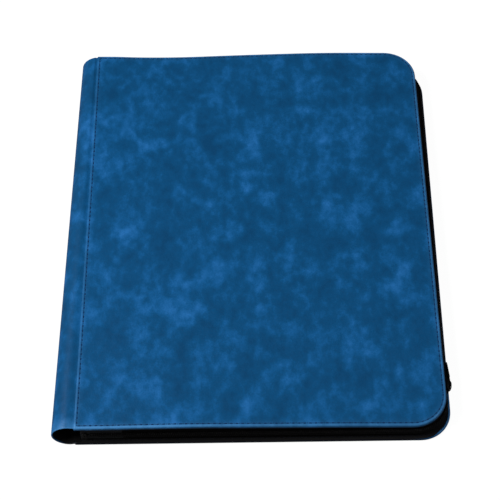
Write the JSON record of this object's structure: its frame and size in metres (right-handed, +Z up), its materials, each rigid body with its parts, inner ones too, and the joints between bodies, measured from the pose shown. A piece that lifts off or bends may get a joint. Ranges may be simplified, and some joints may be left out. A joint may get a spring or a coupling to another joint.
{
  "type": "trading card binder",
  "caption": "Zip-around leatherette binder with rounded fore-edge corners, a soft C-shaped spine and pocket pages for cards, closed and lying flat.",
  "frame": {"origin": "middle of the flat outer face of the back cover, which the binder rests on", "axes": "+X from the spine to the fore-edge, +Y from the lower to the upper edge along the spine, +Z up through the thickness to the front cover"},
  "size_m": [0.282, 0.3445, 0.0256],
  "materials": {
    "blue_leatherette": "mottled blue, matt, fine grain",
    "grey_board": "bare grey board",
    "black_lining": "smooth black lining cloth",
    "stitching_thread": "dark blue sewing thread",
    "zip_tape": "black woven tape",
    "zip_coil": "black nylon coil",
    "slider_enamel": "black enamel on cast metal",
    "page_core": "black sheet",
    "pocket_film": "clear soft film"
  },
  "bodies": {
    "back_cover": {"back_cover_skin": "blue_leatherette", "back_cover_board": "grey_board", "back_cover_lining": "black_lining", "back_cover_stitching": "stitching_thread", "back_zip_tape": "zip_tape", "back_zip_coil": "zip_coil", "back_zip_stops": "zip_coil"},
    "spine": {"spine_skin": "blue_leatherette", "spine_lining": "black_lining", "page_binding": "black_lining"},
    "front_cover": {"front_cover_skin": "blue_leatherette", "front_cover_board": "grey_board", "front_cover_lining": "black_lining", "front_cover_stitching": "stitching_thread", "front_zip_tape": "zip_tape", "front_zip_coil": "zip_coil", "front_zip_stops": "zip_coil"},
    "zip_slider": {"slider_body": "slider_enamel", "slider_bridge": "slider_enamel"},
    "slider_pull": {"slider_pull": "slider_enamel"},
    "page_leaf_01": {"page_01": "page_core", "page_01_pockets": "pocket_film"},
    "page_leaf_02": {"page_02": "page_core", "page_02_pockets": "pocket_film"},
    "page_leaf_03": {"page_03": "page_core", "page_03_pockets": "pocket_film"},
    "page_leaf_04": {"page_04": "page_core", "page_04_pockets": "pocket_film"},
    "page_leaf_05": {"page_05": "page_core", "page_05_pockets": "pocket_film"},
    "page_leaf_06": {"page_06": "page_core", "page_06_pockets": "pocket_film"},
    "page_leaf_07": {"page_07": "page_core", "page_07_pockets": "pocket_film"},
    "page_leaf_08": {"page_08": "page_core", "page_08_pockets": "pocket_film"},
    "page_leaf_09": {"page_09": "page_core", "page_09_pockets": "pocket_film"},
    "page_leaf_10": {"page_10": "page_core", "page_10_pockets": "pocket_film"},
    "page_leaf_11": {"page_11": "page_core", "page_11_pockets": "pocket_film"},
    "page_leaf_12": {"page_12": "page_core", "page_12_pockets": "pocket_film"},
    "page_leaf_13": {"page_13": "page_core", "page_13_pockets": "pocket_film"},
    "page_leaf_14": {"page_14": "page_core", "page_14_pockets": "pocket_film"},
    "page_leaf_15": {"page_15": "page_core", "page_15_pockets": "pocket_film"},
    "page_leaf_16": {"page_16": "page_core", "page_16_pockets": "pocket_film"},
    "page_leaf_17": {"page_17": "page_core", "page_17_pockets": "pocket_film"},
    "page_leaf_18": {"page_18": "page_core", "page_18_pockets": "pocket_film"},
    "page_leaf_19": {"page_19": "page_core", "page_19_pockets": "pocket_film"},
    "page_leaf_20": {"page_20": "page_core", "page_20_pockets": "pocket_film"}
  },
  "joints": [
    {"name": "cover_opening", "type": "hinge", "parent": "back_cover", "child": "spine", "pos_m": [-0.13726, 0, 0.00274], "axis": [0, -1, 0], "range_deg": [0, 90.66]},
    {"name": "front_crease", "type": "hinge", "parent": "spine", "child": "front_cover", "pos_m": [-0.13726, 0, 0.02276], "axis": [0, -1, 0], "range_deg": [0, 90.67]},
    {"name": "zip_slide", "type": "slide", "parent": "back_cover", "child": "zip_slider", "axis": [0, 1, 0], "range_m": [-0.006, 0.264]},
    {"name": "pull_swing", "type": "hinge", "parent": "zip_slider", "child": "slider_pull", "pos_m": [0.1404, -0.133, 0.0098], "axis": [0, 0, -1], "range_deg": [0, 174]},
    {"name": "page_01_turn", "type": "hinge", "parent": "spine", "child": "page_leaf_01", "pos_m": [-0.1325, 0, 0.00468], "axis": [0, -1, 0], "range_deg": [-81.61, 0]},
    {"name": "page_02_turn", "type": "hinge", "parent": "spine", "child": "page_leaf_02", "pos_m": [-0.1325, 0, 0.00553], "axis": [0, -1, 0], "range_deg": [-73.03, 0]},
    {"name": "page_03_turn", "type": "hinge", "parent": "spine", "child": "page_leaf_03", "pos_m": [-0.1325, 0, 0.00637], "axis": [0, -1, 0], "range_deg": [-64.44, 0]},
    {"name": "page_04_turn", "type": "hinge", "parent": "spine", "child": "page_leaf_04", "pos_m": [-0.1325, 0, 0.00722], "axis": [0, -1, 0], "range_deg": [-55.85, 0]},
    {"name": "page_05_turn", "type": "hinge", "parent": "spine", "child": "page_leaf_05", "pos_m": [-0.1325, 0, 0.00808], "axis": [0, -1, 0], "range_deg": [-47.26, 0]},
    {"name": "page_06_turn", "type": "hinge", "parent": "spine", "child": "page_leaf_06", "pos_m": [-0.1325, 0, 0.00893], "axis": [0, -1, 0], "range_deg": [-38.67, 0]},
    {"name": "page_07_turn", "type": "hinge", "parent": "spine", "child": "page_leaf_07", "pos_m": [-0.1325, 0, 0.00978], "axis": [0, -1, 0], "range_deg": [-30.08, 0]},
    {"name": "page_08_turn", "type": "hinge", "parent": "spine", "child": "page_leaf_08", "pos_m": [-0.1325, 0, 0.01063], "axis": [0, -1, 0], "range_deg": [-21.49, 0]},
    {"name": "page_09_turn", "type": "hinge", "parent": "spine", "child": "page_leaf_09", "pos_m": [-0.1325, 0, 0.01148], "axis": [0, -1, 0], "range_deg": [-12.9, 0]},
    {"name": "page_10_turn", "type": "hinge", "parent": "spine", "child": "page_leaf_10", "pos_m": [-0.1325, 0, 0.01232], "axis": [0, -1, 0], "range_deg": [-4.32, 0]},
    {"name": "page_11_turn", "type": "hinge", "parent": "spine", "child": "page_leaf_11", "pos_m": [-0.1325, 0, 0.01317], "axis": [0, -1, 0], "range_deg": [0, 4.32]},
    {"name": "page_12_turn", "type": "hinge", "parent": "spine", "child": "page_leaf_12", "pos_m": [-0.1325, 0, 0.01402], "axis": [0, -1, 0], "range_deg": [0, 12.9]},
    {"name": "page_13_turn", "type": "hinge", "parent": "spine", "child": "page_leaf_13", "pos_m": [-0.1325, 0, 0.01487], "axis": [0, -1, 0], "range_deg": [0, 21.49]},
    {"name": "page_14_turn", "type": "hinge", "parent": "spine", "child": "page_leaf_14", "pos_m": [-0.1325, 0, 0.01572], "axis": [0, -1, 0], "range_deg": [0, 30.08]},
    {"name": "page_15_turn", "type": "hinge", "parent": "spine", "child": "page_leaf_15", "pos_m": [-0.1325, 0, 0.01657], "axis": [0, -1, 0], "range_deg": [0, 38.67]},
    {"name": "page_16_turn", "type": "hinge", "parent": "spine", "child": "page_leaf_16", "pos_m": [-0.1325, 0, 0.01742], "axis": [0, -1, 0], "range_deg": [0, 47.26]},
    {"name": "page_17_turn", "type": "hinge", "parent": "spine", "child": "page_leaf_17", "pos_m": [-0.1325, 0, 0.01827], "axis": [0, -1, 0], "range_deg": [0, 55.85]},
    {"name": "page_18_turn", "type": "hinge", "parent": "spine", "child": "page_leaf_18", "pos_m": [-0.1325, 0, 0.01912], "axis": [0, -1, 0], "range_deg": [0, 64.44]},
    {"name": "page_19_turn", "type": "hinge", "parent": "spine", "child": "page_leaf_19", "pos_m": [-0.1325, 0, 0.01997], "axis": [0, -1, 0], "range_deg": [0, 73.03]},
    {"name": "page_20_turn", "type": "hinge", "parent": "spine", "child": "page_leaf_20", "pos_m": [-0.1325, 0, 0.02082], "axis": [0, -1, 0], "range_deg": [0, 81.61]}
  ],
  "couplings": [
    {"joint": "front_crease", "follows": "cover_opening", "ratio": 1},
    {"joint": "page_01_turn", "follows": "cover_opening", "ratio": -0.9},
    {"joint": "page_02_turn", "follows": "cover_opening", "ratio": -0.80526},
    {"joint": "page_03_turn", "follows": "cover_opening", "ratio": -0.71053},
    {"joint": "page_04_turn", "follows": "cover_opening", "ratio": -0.61579},
    {"joint": "page_05_turn", "follows": "cover_opening", "ratio": -0.52105},
    {"joint": "page_06_turn", "follows": "cover_opening", "ratio": -0.42632},
    {"joint": "page_07_turn", "follows": "cover_opening", "ratio": -0.33158},
    {"joint": "page_08_turn", "follows": "cover_opening", "ratio": -0.23684},
    {"joint": "page_09_turn", "follows": "cover_opening", "ratio": -0.14211},
    {"joint": "page_10_turn", "follows": "cover_opening", "ratio": -0.04737},
    {"joint": "page_11_turn", "follows": "cover_opening", "ratio": 0.04737},
    {"joint": "page_12_turn", "follows": "cover_opening", "ratio": 0.14211},
    {"joint": "page_13_turn", "follows": "cover_opening", "ratio": 0.23684},
    {"joint": "page_14_turn", "follows": "cover_opening", "ratio": 0.33158},
    {"joint": "page_15_turn", "follows": "cover_opening", "ratio": 0.42632},
    {"joint": "page_16_turn", "follows": "cover_opening", "ratio": 0.52105},
    {"joint": "page_17_turn", "follows": "cover_opening", "ratio": 0.61579},
    {"joint": "page_18_turn", "follows": "cover_opening", "ratio": 0.71053},
    {"joint": "page_19_turn", "follows": "cover_opening", "ratio": 0.80526},
    {"joint": "page_20_turn", "follows": "cover_opening", "ratio": 0.9}
  ]
}
